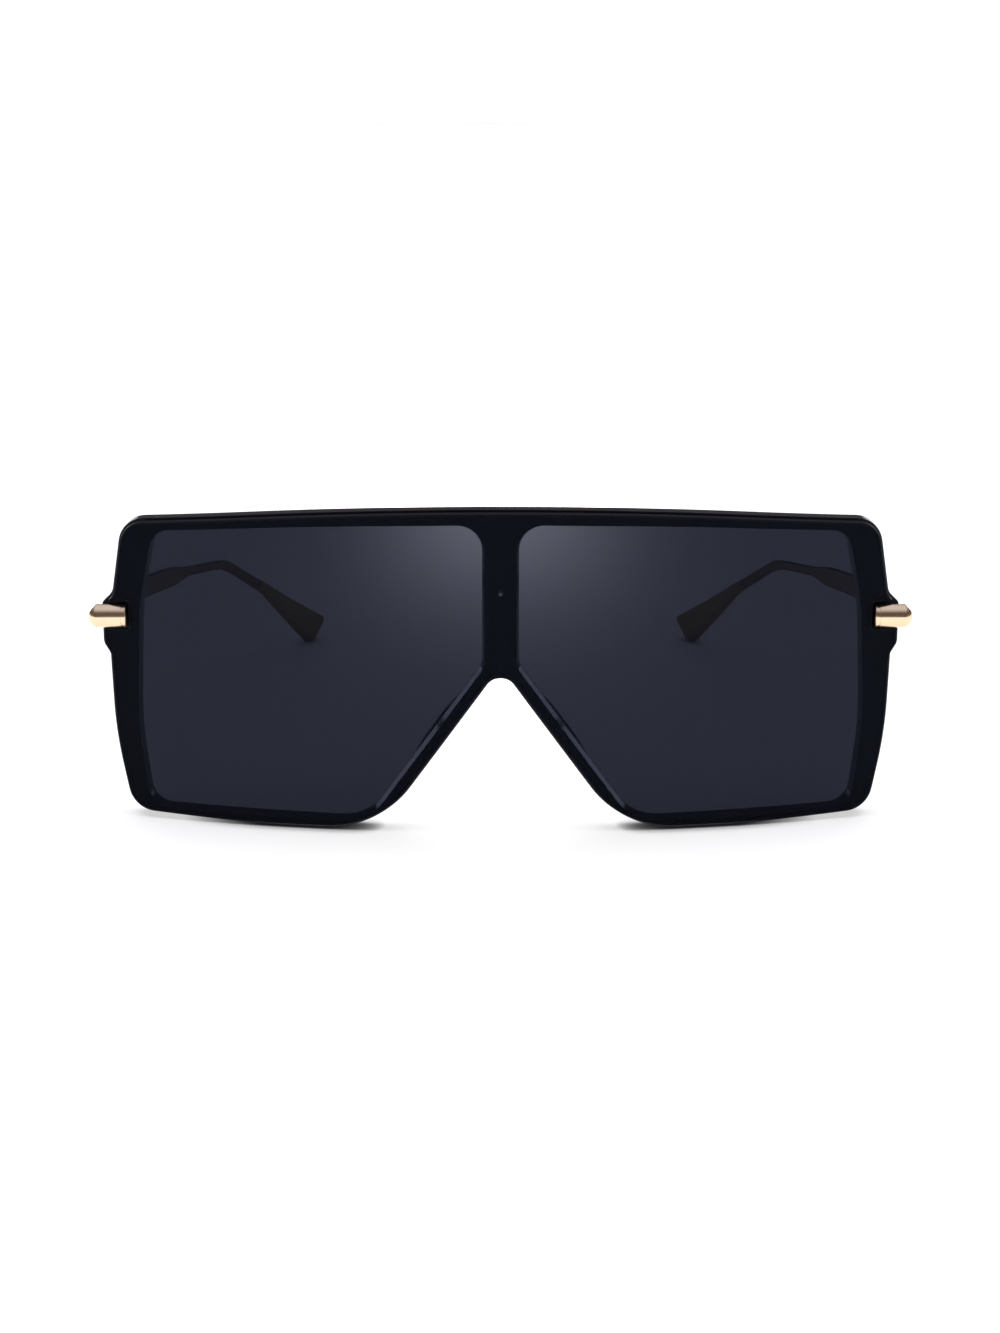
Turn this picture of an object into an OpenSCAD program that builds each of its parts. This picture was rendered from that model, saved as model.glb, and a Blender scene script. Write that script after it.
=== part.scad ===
// Oversized flat-top sunglasses with a one-piece front lens, open and standing on a table.
// +X is the wearer's left, +Y points back towards the ears and +Z points up.
// The origin is on the table, below the middle of the whole object.

/* [Front] */
// Width of the front from lug to lug
front_w = 152.6; // [142:0.2:162]
// Height of the front at its middle
front_h = 62.2; // [56:0.2:68]
// Radius of the front face, seen from above
front_r = 250; // [200:1:320]
// Fall of the top edge from its middle to its corner
top_drop = 3.76; // [2:0.02:5]
// Radius of the top corners
top_corner_r = 5.5; // [3:0.1:8]
// Radius of the outer bottom corners
bottom_corner_r = 5.6; // [3:0.1:9]
// Rise of the bottom edge towards its corners
bottom_lift = 1.1; // [0.5:0.1:1.6]
// Half width of the nose opening at the table
nose_half_w = 23.2; // [20:0.1:27]
// Height at which the two nose edges would meet
nose_apex_h = 32.15; // [29:0.05:36]
// Radius of the arch over the nose
arch_r = 3.1; // [2.5:0.1:5]
// Radius of the inner bottom corners
nose_foot_r = 20; // [10:0.5:24]
// Lug above the middle of the hinge
lug_up = 2.45; // [1:0.05:4]
// Lug below the middle of the hinge
lug_down = 5.3; // [4.5:0.05:8]
// Radius of the lug's corners
lug_r = 1.2; // [0.6:0.1:2]

/* [Frame] */
// Thickness of the frame behind the lens
frame_t = 3.6; // [3:0.1:5]
// Rim over the windows near the bridge
top_rim = 3.4; // [3:0.1:6]
// Rim over the windows at their outer end
top_rim_end = 2.9; // [2:0.1:5]
// Rim below the windows
bottom_rim = 1.6; // [1.2:0.1:4]
// Rim beside the nose opening
nose_rim = 2.85; // [2:0.05:4.5]
// Width of the bridge between the windows
bridge_w = 6.9; // [5:0.1:10]
// Radius of the windows' inner top corners
window_top_r = 4.7; // [3:0.1:6]
// Radius of the windows' inner bottom corners
window_foot_r = 9; // [5:0.5:11]

/* [Lens] */
// Thickness of the lens
lens_t = 2; // [1.6:0.1:2.6]
// Distance from the frame's edge to the lens's edge
lens_inset = 0.45; // [0.2:0.05:1.2]
// Film of glue between the lens and the frame
glue_gap = 0.05; // [0.02:0.01:0.1]
// Diameter of the pin in the bridge
pin_d = 1; // [0.8:0.1:1.6]
// Height of the pin in the bridge
pin_z = 46.6; // [40:0.1:52]

/* [Barrels] */
// Diameter of the gold barrels
barrel_d = 4.5; // [4:0.1:5.6]
// Length of the gold barrels
barrel_l = 7.4; // [6.5:0.1:9]
// Room round a barrel in the lens
barrel_room = 0.2; // [0.1:0.05:0.5]

/* [Hinges] */
// Height of the hinges and barrels above the table
hinge_z = 39.45; // [36:0.05:43]
// Radius of the hinge knuckles
knuckle_r = 1.5; // [1.4:0.05:1.9]
// Height of one hinge knuckle
knuckle_h = 1.6; // [1.3:0.1:2.2]
// Diameter of the hinge screw
hinge_screw_d = 1.2; // [1:0.05:1.4]
// Running clearance round the hinge screw
screw_play = 0.03; // [0.02:0.01:0.08]
// Thickness of the hinge plate
plate_t = 1; // [0.9:0.05:1.4]

/* [Temples] */
// Distance from the hinge back to the end of the tip
temple_reach = 135.2; // [124:0.5:144]
// Radius of the temple's curve, seen from above
temple_r = 230; // [190:0.2:300]
// Angle by which the temple starts outwards
temple_splay = 5.5; // [3:0.1:7]
// Thickness of the temple arm
arm_t = 1.5; // [1.3:0.1:2]
// Height of the arm at the hinge
arm_front_h = 4.6; // [4.4:0.1:6]
// Height of the arm at its wide part
arm_h = 4.2; // [3.4:0.1:5]
// Height of the arm at its neck
neck_h = 2; // [1.8:0.1:3]
// Height of the tip at its widest
spade_h = 6.6; // [5.5:0.1:8]
// Thickness of the temple tip
tip_t = 1.9; // [1.8:0.1:2.6]

/* [Nose pads] */
// Distance a nose pad stands out behind the frame
pad_reach = 3.6; // [2:0.1:6]
// Radius of a nose pad's edge
pad_r = 1.5; // [1.1:0.05:1.9]

/* [Hidden] */

// Colours
black = "#14161c";
smoke = "#2b2e3b";
gold = "#d9a877";
steel = "#b9bcc4";

// Fine cylinders, and the largest distance between an arc and its chords
$fn = 64;
shell_fn = 360;
arc_error = 0.02;
// Grid that the points of the outlines lie on
grid = 0.001;
// Share of a side that a rounded corner may use
corner_share = 0.94;
// Overrun of cuts
over = 1;

// Front outline, as shares of the half width and named heights
half_w = front_w / 2;
top_corner_share = 0.941;
top_arc_share = 0.65;
upper_waist_share = 0.972;
lower_waist_share = 0.983;
side_low_share = 0.977;
side_low_z_share = 0.26;
bottom_corner_share = 0.9384;
bottom_flat_share = 0.603;
bottom_bend_r = 150;
upper_waist_rise = 2.05;
lower_waist_fall = 2;
upper_waist_r = 3;
lower_waist_r = 2;
side_r = 80;
top_corner_x = half_w * top_corner_share;
top_slope = top_drop / (top_corner_x * (1 - top_arc_share / 2));
top_arc_r = top_corner_x * top_arc_share / top_slope;
top_vertex_z = front_h - top_drop + top_slope * top_corner_x;
lug_top_z = hinge_z + lug_up;
lug_bottom_z = hinge_z - lug_down;
half_outline = [
    [0, top_vertex_z, top_arc_r],
    [top_corner_x, front_h - top_drop, top_corner_r],
    [half_w * upper_waist_share, lug_top_z + upper_waist_rise, upper_waist_r],
    [half_w, lug_top_z, lug_r],
    [half_w, lug_bottom_z, lug_r],
    [half_w * lower_waist_share, lug_bottom_z - lower_waist_fall, lower_waist_r],
    [half_w * side_low_share, front_h * side_low_z_share, side_r],
    [half_w * bottom_corner_share, bottom_lift, bottom_corner_r],
    [half_w * bottom_flat_share, 0, bottom_bend_r],
    [nose_half_w, 0, nose_foot_r],
    [0, nose_apex_h, arch_r]];

// Window outline: parallel to the nose edge, and shares of the front elsewhere
nose_side = norm([nose_half_w, nose_apex_h]);
nose_slope = nose_apex_h / nose_half_w;
window_apex_h = nose_apex_h + nose_rim * nose_side / nose_half_w;
window_top_x_share = 0.857;
window_waist_x_share = 0.8965;
window_low_x_share = 0.911;
window_foot_x_share = 0.8847;
window_low_z_share = 0.29;
window_top_bulge = 0.75;
window_top_arc_r = 550;
window_outer_r = 3.4;
window_side_r = 60;
window_corner_r = 4;
window_corner_rise = 0.4;
window_top_x = half_w * window_top_x_share;
window_in_z = front_h - top_rim;
window_out_z = top_vertex_z - top_slope * window_top_x - top_rim_end;
window_mid_x = (bridge_w / 2 + window_top_x) / 2;
window_outline = [
    [bridge_w / 2, window_in_z, window_top_r],
    [window_mid_x, (window_in_z + window_out_z) / 2 + window_top_bulge, window_top_arc_r],
    [window_top_x, window_out_z, window_outer_r],
    [half_w * window_waist_x_share, lug_top_z, window_side_r],
    [half_w * window_low_x_share, front_h * window_low_z_share, window_side_r],
    [half_w * window_foot_x_share, bottom_rim + window_corner_rise, window_corner_r],
    [(window_apex_h - bottom_rim) / nose_slope, bottom_rim, window_foot_r],
    [bridge_w / 2, window_apex_h - nose_slope * bridge_w / 2, window_corner_r]];

// Depths behind the front face, and the depth of the whole curved front
frame_front = lens_t + glue_gap;
frame_back = frame_front + frame_t;
front_depth = frame_back + front_r - sqrt(front_r * front_r - half_w * half_w);
pin_l = frame_front + frame_t / 2;
pocket_depth = 0.2;
plate_seat = frame_back - pocket_depth;
plate_back = plate_seat + plate_t;

// Local frame of a lug: x runs outwards along the front face, y runs back, z is up from the hinge's middle
lug_in = 2.9;
lug_x = half_w - lug_in;
lug_angle = asin(lug_x / front_r);
lug_y = front_r - sqrt(front_r * front_r - lug_x * lug_x);

// Hinge axis in the lug's frame and in the part's frame
hinge_u = 0.25;
knuckle_gap = 1.05;
knuckle_play = 0.1;
web_share = 0.7;
hinge_v = plate_back + knuckle_gap + knuckle_r;
hinge_x = lug_x + cos(lug_angle) * hinge_u - sin(lug_angle) * hinge_v;
hinge_apex_y = lug_y + sin(lug_angle) * hinge_u + cos(lug_angle) * hinge_v;
stack_h = 3 * knuckle_h + 2 * knuckle_play;

// Barrel: it lies level, its middle behind the front face and its inner end short of the lug's middle
barrel_r = barrel_d / 2;
barrel_sink = -0.3;
barrel_rise = 0.5;
barrel_in = -2.35;
barrel_dome = 1.5;
barrel_edge = 0.35;
dome_steps = 12;
edge_step = 15;
groove_at = 0.5;
groove_w = 0.5;
groove_depth = 0.12;
trough_play = 0.02;
notch_corner_r = 0.5;
notch_over = 0.2;

// Hinge plate and its fasteners, in the lug's frame
plate_in = 1.9;
plate_out = 1.5;
plate_half_h = 5.6;
tongue_half_h = 1.45;
tongue_out = 4.2;
plate_corner_r = 0.8;
pocket_play = 0.05;
barrel_screw_u = 2.95;
barrel_screw_r = 0.6;
barrel_screw_head_r = 1.05;
barrel_screw_bite = 2.2;
head_depth = 0.55;
slot_w = 0.3;
slot_depth = 0.22;
plate_screw_z = 4.3;
plate_screw_u = -0.2;
plate_screw_r = 0.5;
plate_screw_head_r = 0.9;
plate_screw_bite = 2.2;
thread_play = 0.02;
hinge_head_r = 1;
hinge_head_h = 0.45;
hinge_screw_foot = 0.1;

// Temple: x in the part's frame, and y back from the hinge axis
arm_gap = 0.3;
arm_x = hinge_x + knuckle_r + arm_gap + arm_t / 2;
arm_centre_x = arm_x - temple_r * cos(temple_splay);
arm_centre_back = temple_r * sin(temple_splay);
arm_stop_gap = 0.4;
arm_outer_x = arm_x + arm_t / 2;
stop_u = (arm_outer_x - lug_x + sin(lug_angle) * plate_back) / cos(lug_angle);
arm_front_y = lug_y + sin(lug_angle) * stop_u + cos(lug_angle) * plate_back + arm_stop_gap - hinge_apex_y;
arm_y_shares = [0.4379, 0.503, 0.6753, 0.8158, 0.8913];
arm_z_shares = [0.821, 0.7985, 0.7148, 0.46, 0.2826];
tip_root_h = 2.5;
arm_heights = [arm_h, neck_h, neck_h, tip_root_h, spade_h];
arm_front_z_share = 1.0177;
end_z_share = 0.124;
toe_y_shares = [0.9556, 0.9645];
arm_corner_r = 0.8;
arm_wide_r = 20;
neck_r = 20;
bend_top_r = 15;
bend_bottom_r = 34;
tip_root_r = 25;
tip_top_r = 60;
spade_r = 30;
toe_r = 1.2;
heel_r = 1.2;
end_r = 1.2;

function arm_y(i) = temple_reach * arm_y_shares[i];
function arm_top(i) = hinge_z * arm_z_shares[i] + arm_heights[i] / 2;
function arm_bottom(i) = hinge_z * arm_z_shares[i] - arm_heights[i] / 2;
arm_front_z = hinge_z * arm_front_z_share;
temple_outline = [
    [arm_front_y, arm_front_z + arm_front_h / 2, arm_corner_r],
    [arm_y(0), arm_top(0), arm_wide_r],
    [arm_y(1), arm_top(1), neck_r],
    [arm_y(2), arm_top(2), bend_top_r],
    [arm_y(3), arm_top(3), tip_top_r],
    [temple_reach, hinge_z * end_z_share, end_r],
    [temple_reach * toe_y_shares[1], 0, heel_r],
    [temple_reach * toe_y_shares[0], 0, toe_r],
    [arm_y(4), arm_bottom(4), spade_r],
    [arm_y(3), arm_bottom(3), tip_root_r],
    [arm_y(2), arm_bottom(2), bend_bottom_r],
    [arm_y(1), arm_bottom(1), neck_r],
    [arm_y(0), arm_bottom(0), arm_wide_r],
    [arm_front_y, arm_front_z - arm_front_h / 2, arm_corner_r]];

// Tip sleeve and the tang inside it: the joint is square to the sloping arm
tip_root_share = 0.79;
tip_run = [arm_y(3) - arm_y(2), hinge_z * (arm_z_shares[3] - arm_z_shares[2])];
tip_slope = atan2(hinge_z * (arm_z_shares[4] - arm_z_shares[2]), arm_y(4) - arm_y(2));
tip_y = temple_reach * tip_root_share;
tip_z = hinge_z * arm_z_shares[2] + tip_run[1] / tip_run[0] * (tip_y - arm_y(2));
tip_gap = 0.05;
tang_h = 1.1;
tang_t = 0.8;
tang_l = 14;
tang_play = 0.05;

// The object's depth, and where its front and its hinges lie
overall_depth = hinge_apex_y + max([for (p = rounded(temple_outline)) p[0]]);
front_y = -overall_depth / 2;
hinge_y = front_y + hinge_apex_y;

// Temple leaf
leaf_t = 0.8;
leaf_gap = 0.05;
leaf_l = 9;
leaf_side_play = 0.35;
leaf_margin = 0.5;
leaf_start = knuckle_r + leaf_side_play;
leaf_outer_r = temple_r - arm_t / 2 - leaf_gap;
leaf_inner_r = leaf_outer_r - leaf_t;
leaf_slope = atan2(hinge_z * (arm_z_shares[0] - arm_front_z_share), arm_y(0) - arm_front_y);

// Nose pads: ends of the pad along the nose edge, as shares of the edge from its foot
pad_low_share = 0.37;
pad_high_share = 0.76;
pad_inset = 1.55;
pad_flare = 0.9;
pad_gap = 0.05;
pad_end_share = 0.62;
pad_crest_share = 0.66;
pad_fall_share = 0.3;
pad_fn = 32;

// Point moved onto a fine grid
function snapped(p) = [round(p[0] / grid), round(p[1] / grid)] * grid;

// Unit vector along a vector
function unit(v) = v / norm(v);

// Points of the arc that rounds corner b between a and c
function corner(a, b, c) =
    let (pa = [a[0], a[1]], pb = [b[0], b[1]], pc = [c[0], c[1]],
         u = unit(pa - pb), w = unit(pc - pb),
         half = acos(u * w) / 2,
         room = corner_share * min(norm(pa - pb), norm(pc - pb)),
         r = min(b[2], room * tan(half)),
         centre = pb + unit(u + w) * r / sin(half),
         first = pb + u * r / tan(half) - centre,
         start = atan2(first[1], first[0]),
         turn = (u[0] * w[1] - u[1] * w[0] > 0 ? -1 : 1) * (180 - 2 * half),
         steps = max(2, ceil(abs(turn) / (2 * acos(1 - arc_error / max(r, arc_error * 2))))))
    [for (i = [0 : steps]) centre + r * [cos(start + turn * i / steps), sin(start + turn * i / steps)]];

// Closed outline with every corner rounded by its own radius
function rounded(v) =
    let (n = len(v))
    [for (i = [0 : n - 1]) each [for (p = corner(v[(i + n - 1) % n], v[i], v[(i + 1) % n])) snapped(p)]];

// Both halves of a symmetric outline that starts and ends on the middle line
function both_halves(v) = concat(v, [for (i = [len(v) - 2 : -1 : 1]) [-v[i][0], v[i][1], v[i][2]]]);

// Clockwise outline drawn in by d, with its radii changed to suit
function drawn_in(v, d) =
    let (n = len(v))
    [for (i = [0 : n - 1])
        let (a = v[(i + n - 1) % n], b = v[i], c = v[(i + 1) % n],
             e = unit([b[0] - a[0], b[1] - a[1]]), f = unit([c[0] - b[0], c[1] - b[1]]),
             ne = [e[1], -e[0]], nf = [f[1], -f[0]],
             p = [b[0], b[1]] + d * (ne + nf) / (1 + ne * nf),
             bend = e[0] * f[1] - e[1] * f[0])
        [p[0], p[1], bend < 0 ? max(b[2] - d, d) : b[2] + d]];

// Solid of an outline in x and z, through the depth of the front
module front_slab(outline) {
    translate([0, front_y + front_depth + over, 0])
        rotate([90, 0, 0])
            linear_extrude(front_depth + 2 * over)
                polygon(outline);
}

// Upright curved shell between two depths behind the front face
module front_shell(near, far) {
    translate([0, front_y + front_r, -over])
        difference() {
            cylinder(r = front_r - near, h = top_vertex_z + 2 * over, $fn = shell_fn);
            translate([0, 0, -over])
                cylinder(r = front_r - far, h = top_vertex_z + 4 * over, $fn = shell_fn);
        }
}

// Children moved from the left lug's frame to their place
module at_lug() {
    translate([lug_x, front_y + lug_y, hinge_z])
        rotate([0, 0, lug_angle])
            children();
}

// Children moved from the left barrel's frame to their place: x runs outwards along the barrel
module at_barrel() {
    translate([lug_x, front_y + lug_y + barrel_sink, hinge_z + barrel_rise])
        children();
}

// Children on the left, and mirrored on the right
module both_sides() {
    children();
    mirror([1, 0, 0])
        children();
}

// Cylinder that runs back from a depth, in the lug's frame
module back_rod(u, z, near, far, r) {
    translate([u, near, z])
        rotate([-90, 0, 0])
            cylinder(r = r, h = far - near);
}

// Hinge plate's upright bar and its tongue behind the barrel, lying flat and grown by some play
module plate_shape(play) {
    r = plate_corner_r + play;
    linear_extrude(plate_t + play)
        for (part = [[-plate_in, plate_out, plate_half_h], [-plate_in, tongue_out, tongue_half_h]])
            let (u0 = part[0] - play, u1 = part[1] + play, h = part[2] + play)
                polygon(rounded([[u0, -h, r], [u0, h, r], [u1, h, r], [u1, -h, r]]));
}

// Hinge plate's body upright in its seat, in the lug's frame
module seated_plate(play) {
    translate([0, plate_seat, 0])
        rotate([90, 0, 0])
            mirror([0, 0, 1])
                plate_shape(play);
}

// Room for the barrel, its screw and the hinge plate, on both lugs
module lug_cuts() {
    both_sides() {
        at_barrel()
            translate([barrel_in - barrel_room, 0, 0])
                rotate([0, 90, 0])
                    cylinder(r = barrel_r + trough_play, h = barrel_l + barrel_room);
        at_lug() {
            seated_plate(pocket_play);
            translate([0, plate_t, 0])
                seated_plate(pocket_play);
            back_rod(barrel_screw_u, 0, 0, plate_back, barrel_screw_r + thread_play);
            for (z = [-plate_screw_z, plate_screw_z])
                back_rod(plate_screw_u, z, plate_seat - plate_screw_bite, plate_back,
                         plate_screw_r + thread_play);
        }
    }
}

// Square notches in the lens's edge that the barrels lie in, with more room above a barrel
module lens_notches() {
    low = barrel_rise - barrel_r - barrel_room;
    high = barrel_rise + barrel_r + barrel_room + notch_over;
    inner = lug_x + barrel_in - barrel_room;
    outer = half_w + over;
    both_sides()
        front_slab(rounded([for (p = [[inner, low], [inner, high], [outer, high], [outer, low]])
            [p[0], hinge_z + p[1], notch_corner_r]]));
}

// Blind hole for the pin, through the lens and into the bridge
module bridge_bore() {
    translate([0, front_y - over, pin_z])
        rotate([-90, 0, 0])
            cylinder(d = pin_d + 2 * thread_play, h = over + pin_l);
}

// Frame with its two windows, behind the lens
module front_frame() {
    color(black)
        difference() {
            intersection() {
                difference() {
                    front_slab(rounded(both_halves(half_outline)));
                    both_sides()
                        front_slab(rounded(window_outline));
                }
                front_shell(frame_front, frame_back);
            }
            lug_cuts();
            bridge_bore();
        }
}

// One lens over the whole front
module shield_lens() {
    color(smoke)
        difference() {
            intersection() {
                front_slab(rounded(drawn_in(both_halves(half_outline), lens_inset)));
                front_shell(0, lens_t);
            }
            lens_notches();
            bridge_bore();
        }
}

// Pin that holds the lens to the bridge
module bridge_pin() {
    color(steel)
        translate([0, front_y, pin_z])
            rotate([-90, 0, 0])
                cylinder(d = pin_d, h = pin_l);
}

// Point at a share of the way up the left nose edge, moved into the frame by some inset
function nose_edge(share, inset) =
    [nose_half_w * (1 - share), nose_apex_h * share]
    + inset * [nose_apex_h, nose_half_w] / nose_side;

// Place of the frame's back face at some distance from the middle
function back_face(x) = front_y + front_r - sqrt(pow(front_r - frame_back, 2) - x * x);

// One ball of a nose pad, at a share of the nose edge and a reach behind the frame
module pad_ball(share, reach, size_share) {
    p = nose_edge(share, pad_inset + reach * pad_flare / pad_reach);
    translate([p[0], back_face(p[0]) + reach, p[1]])
        sphere(r = pad_r * size_share, $fn = pad_fn);
}

// Nose pad: a rounded fin behind the nose rim, cut to the curve of the frame's back
module nose_pad() {
    middle = (pad_low_share + pad_high_share) / 2;
    color(black)
        difference() {
            hull() {
                pad_ball(pad_low_share, 0, pad_end_share);
                pad_ball(middle, 0, 1);
                pad_ball(pad_high_share, 0, pad_end_share);
                for (side = [-1, 0, 1])
                    pad_ball(middle + side * pad_crest_share * (pad_high_share - middle),
                             (pad_reach - pad_r) * (1 - abs(side) * pad_fall_share), pad_end_share);
            }
            front_shell(-over, frame_back + pad_gap);
        }
}

// Barrel: a turned pin with a rounded inner end, a shallow groove and a domed outer end
module barrel() {
    dome_r = (barrel_r * barrel_r + barrel_dome * barrel_dome) / (2 * barrel_dome);
    dome_turn = asin(barrel_r / dome_r);
    profile = concat(
        [[0, 0]],
        [for (a = [0 : edge_step : 90])
            [barrel_r - barrel_edge * (1 - sin(a)), barrel_edge * (1 - cos(a))]],
        [[barrel_r, groove_at], [barrel_r - groove_depth, groove_at],
         [barrel_r - groove_depth, groove_at + groove_w], [barrel_r, groove_at + groove_w]],
        [for (i = [0 : dome_steps - 1])
            let (a = dome_turn * (1 - i / dome_steps))
            [dome_r * sin(a), barrel_l - dome_r * (1 - cos(a))]],
        [[0, barrel_l]]);
    color(gold)
        difference() {
            at_barrel()
                translate([barrel_in, 0, 0])
                    rotate([0, 90, 0])
                        rotate_extrude()
                            polygon(profile);
            at_lug()
                back_rod(barrel_screw_u, 0, barrel_r - barrel_screw_bite, barrel_r + barrel_sink + over,
                         barrel_screw_r + thread_play);
        }
}

// Flush screw with a slotted head, in the lug's frame
module flush_screw(u, z, end, shank_r, head_r) {
    color(steel)
        difference() {
            union() {
                back_rod(u, z, end, plate_back, shank_r);
                back_rod(u, z, plate_back - head_depth + thread_play, plate_back, head_r);
            }
            translate([u - head_r, plate_back - slot_depth, z - slot_w / 2])
                cube([2 * head_r, slot_depth + over, slot_w]);
        }
}

// Screw that pulls the barrel against the lug
module barrel_screw() {
    at_lug()
        flush_screw(barrel_screw_u, 0, barrel_r - barrel_screw_bite + thread_play,
                    barrel_screw_r, barrel_screw_head_r);
}

// Two screws that hold the hinge plate
module plate_screws() {
    at_lug()
        for (z = [-plate_screw_z, plate_screw_z])
            flush_screw(plate_screw_u, z, plate_seat - plate_screw_bite + thread_play,
                        plate_screw_r, plate_screw_head_r);
}

// Children moved to the hinge axis, in the lug's frame
module at_axis() {
    translate([hinge_u, hinge_v, 0])
        children();
}

// Hinge plate with its two outer knuckles
module hinge_plate() {
    reach = hinge_v - plate_back;
    web_half = knuckle_r * web_share;
    color(gold)
        at_lug()
            difference() {
                union() {
                    seated_plate(0);
                    for (z = [-stack_h / 2, stack_h / 2 - knuckle_h])
                        at_axis()
                            translate([0, 0, z]) {
                                cylinder(r = knuckle_r, h = knuckle_h);
                                translate([-web_half, -reach - plate_t / 2, 0])
                                    cube([2 * web_half, reach + plate_t / 2, knuckle_h]);
                            }
                }
                at_axis()
                    translate([0, 0, -stack_h / 2 - over])
                        cylinder(d = hinge_screw_d + 2 * screw_play, h = stack_h + 2 * over);
                back_rod(barrel_screw_u, 0, plate_seat - over, plate_back + over,
                         barrel_screw_r + thread_play);
                back_rod(barrel_screw_u, 0, plate_back - head_depth, plate_back + over,
                         barrel_screw_head_r + thread_play);
                for (z = [-plate_screw_z, plate_screw_z]) {
                    back_rod(plate_screw_u, z, plate_seat - over, plate_back + over,
                             plate_screw_r + thread_play);
                    back_rod(plate_screw_u, z, plate_back - head_depth, plate_back + over,
                             plate_screw_head_r + thread_play);
                }
            }
}

// Screw that the temple turns on
module hinge_screw() {
    color(steel)
        translate([hinge_x, hinge_y, hinge_z])
            difference() {
                union() {
                    translate([0, 0, -stack_h / 2 - hinge_screw_foot])
                        cylinder(d = hinge_screw_d, h = stack_h + 2 * hinge_screw_foot);
                    translate([0, 0, stack_h / 2])
                        cylinder(r = hinge_head_r, h = hinge_head_h);
                }
                translate([-hinge_head_r - over, -slot_w / 2, stack_h / 2 + hinge_head_h - slot_depth])
                    cube([2 * (hinge_head_r + over), slot_w, slot_depth + over]);
            }
}

// Upright curved wall between two radii of the temple's curve
module temple_wall(outer, inner) {
    translate([arm_centre_x, hinge_y + arm_centre_back, -over])
        rotate([0, 0, 90])
            difference() {
                cylinder(r = outer, h = hinge_z + arm_front_h + over, $fn = shell_fn);
                translate([0, 0, -over])
                    cylinder(r = inner, h = hinge_z + arm_front_h + 3 * over, $fn = shell_fn);
            }
}

// Solid of an outline in y and z, across the left half of the part
module side_slab(outline) {
    translate([0, hinge_y, 0])
        rotate([90, 0, 90])
            linear_extrude(front_w)
                polygon(outline);
}

// Frame at the joint between the arm and its tip, with y along the tip
module at_tip() {
    translate([0, hinge_y + tip_y, tip_z])
        rotate([tip_slope, 0, 0])
            children();
}

// Everything behind the joint of the tip, from a distance along it
module behind_tip(from) {
    at_tip()
        translate([0, from, -hinge_z])
            cube([front_w, temple_reach, 2 * hinge_z]);
}

// Bar inside the tip, grown by some play
module tang(play) {
    intersection() {
        temple_wall(temple_r + tang_t / 2 + play, temple_r - tang_t / 2 - play);
        at_tip()
            translate([0, -over, -tang_h / 2 - play])
                cube([front_w, tang_l + over + play, tang_h + 2 * play]);
    }
}

// Flat arm from the hinge to the tip, with the tang that the tip is pushed over
module temple_arm() {
    color(gold)
        union() {
            difference() {
                intersection() {
                    side_slab(rounded(temple_outline));
                    temple_wall(temple_r + arm_t / 2, temple_r - arm_t / 2);
                }
                behind_tip(0);
            }
            tang(0);
        }
}

// Spade-shaped tip behind the ear
module temple_tip() {
    color(gold)
        difference() {
            intersection() {
                side_slab(rounded(temple_outline));
                temple_wall(temple_r + tip_t / 2, temple_r - tip_t / 2);
                behind_tip(tip_gap);
            }
            tang(tang_play);
        }
}

// Leaf: middle knuckle, and a thin plate on the inner face of the arm
module temple_leaf() {
    color(gold)
        difference() {
            union() {
                translate([hinge_x, hinge_y, hinge_z - knuckle_h / 2])
                    cylinder(r = knuckle_r, h = knuckle_h);
                intersection() {
                    temple_wall(leaf_outer_r, leaf_inner_r);
                    translate([0, hinge_y, hinge_z - knuckle_h / 2])
                        cube([front_w, leaf_start + over, knuckle_h]);
                }
                intersection() {
                    temple_wall(leaf_outer_r, leaf_inner_r);
                    translate([0, hinge_y + leaf_start,
                               arm_front_z + tan(leaf_slope) * (leaf_start - arm_front_y)])
                        rotate([leaf_slope, 0, 0])
                            translate([0, 0, -arm_front_h / 2 + leaf_margin])
                                cube([front_w, leaf_l, arm_front_h - 2 * leaf_margin]);
                }
            }
            translate([hinge_x, hinge_y, hinge_z - knuckle_h])
                cylinder(d = hinge_screw_d + 2 * screw_play, h = 2 * knuckle_h);
        }
}

// The right side mirrors the left side
module right() {
    mirror([1, 0, 0])
        children();
}

front_frame();
shield_lens();
bridge_pin();
nose_pad();  // left_nose_pad
right() nose_pad();  // right_nose_pad
barrel();  // left_barrel
right() barrel();  // right_barrel
barrel_screw();  // left_barrel_screw
right() barrel_screw();  // right_barrel_screw
hinge_plate();  // left_hinge_plate
right() hinge_plate();  // right_hinge_plate
plate_screws();  // left_plate_screws
right() plate_screws();  // right_plate_screws
hinge_screw();  // left_hinge_screw
right() hinge_screw();  // right_hinge_screw
temple_leaf();  // left_temple_leaf
right() temple_leaf();  // right_temple_leaf
temple_arm();  // left_temple_arm
right() temple_arm();  // right_temple_arm
temple_tip();  // left_temple_tip
right() temple_tip();  // right_temple_tip
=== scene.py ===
"""Oversized flat-top sunglasses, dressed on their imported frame.

Lengths in the classes are millimetres in the part's frame: +X is the wearer's left, +Y points back
to the ears and +Z points up. Meshes are written in metres.
"""

import logging
import math
from dataclasses import dataclass, field
from enum import Enum
from typing import Any, Callable

import bpy
import numpy as np
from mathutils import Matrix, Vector
from mathutils.geometry import delaunay_2d_cdt


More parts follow.
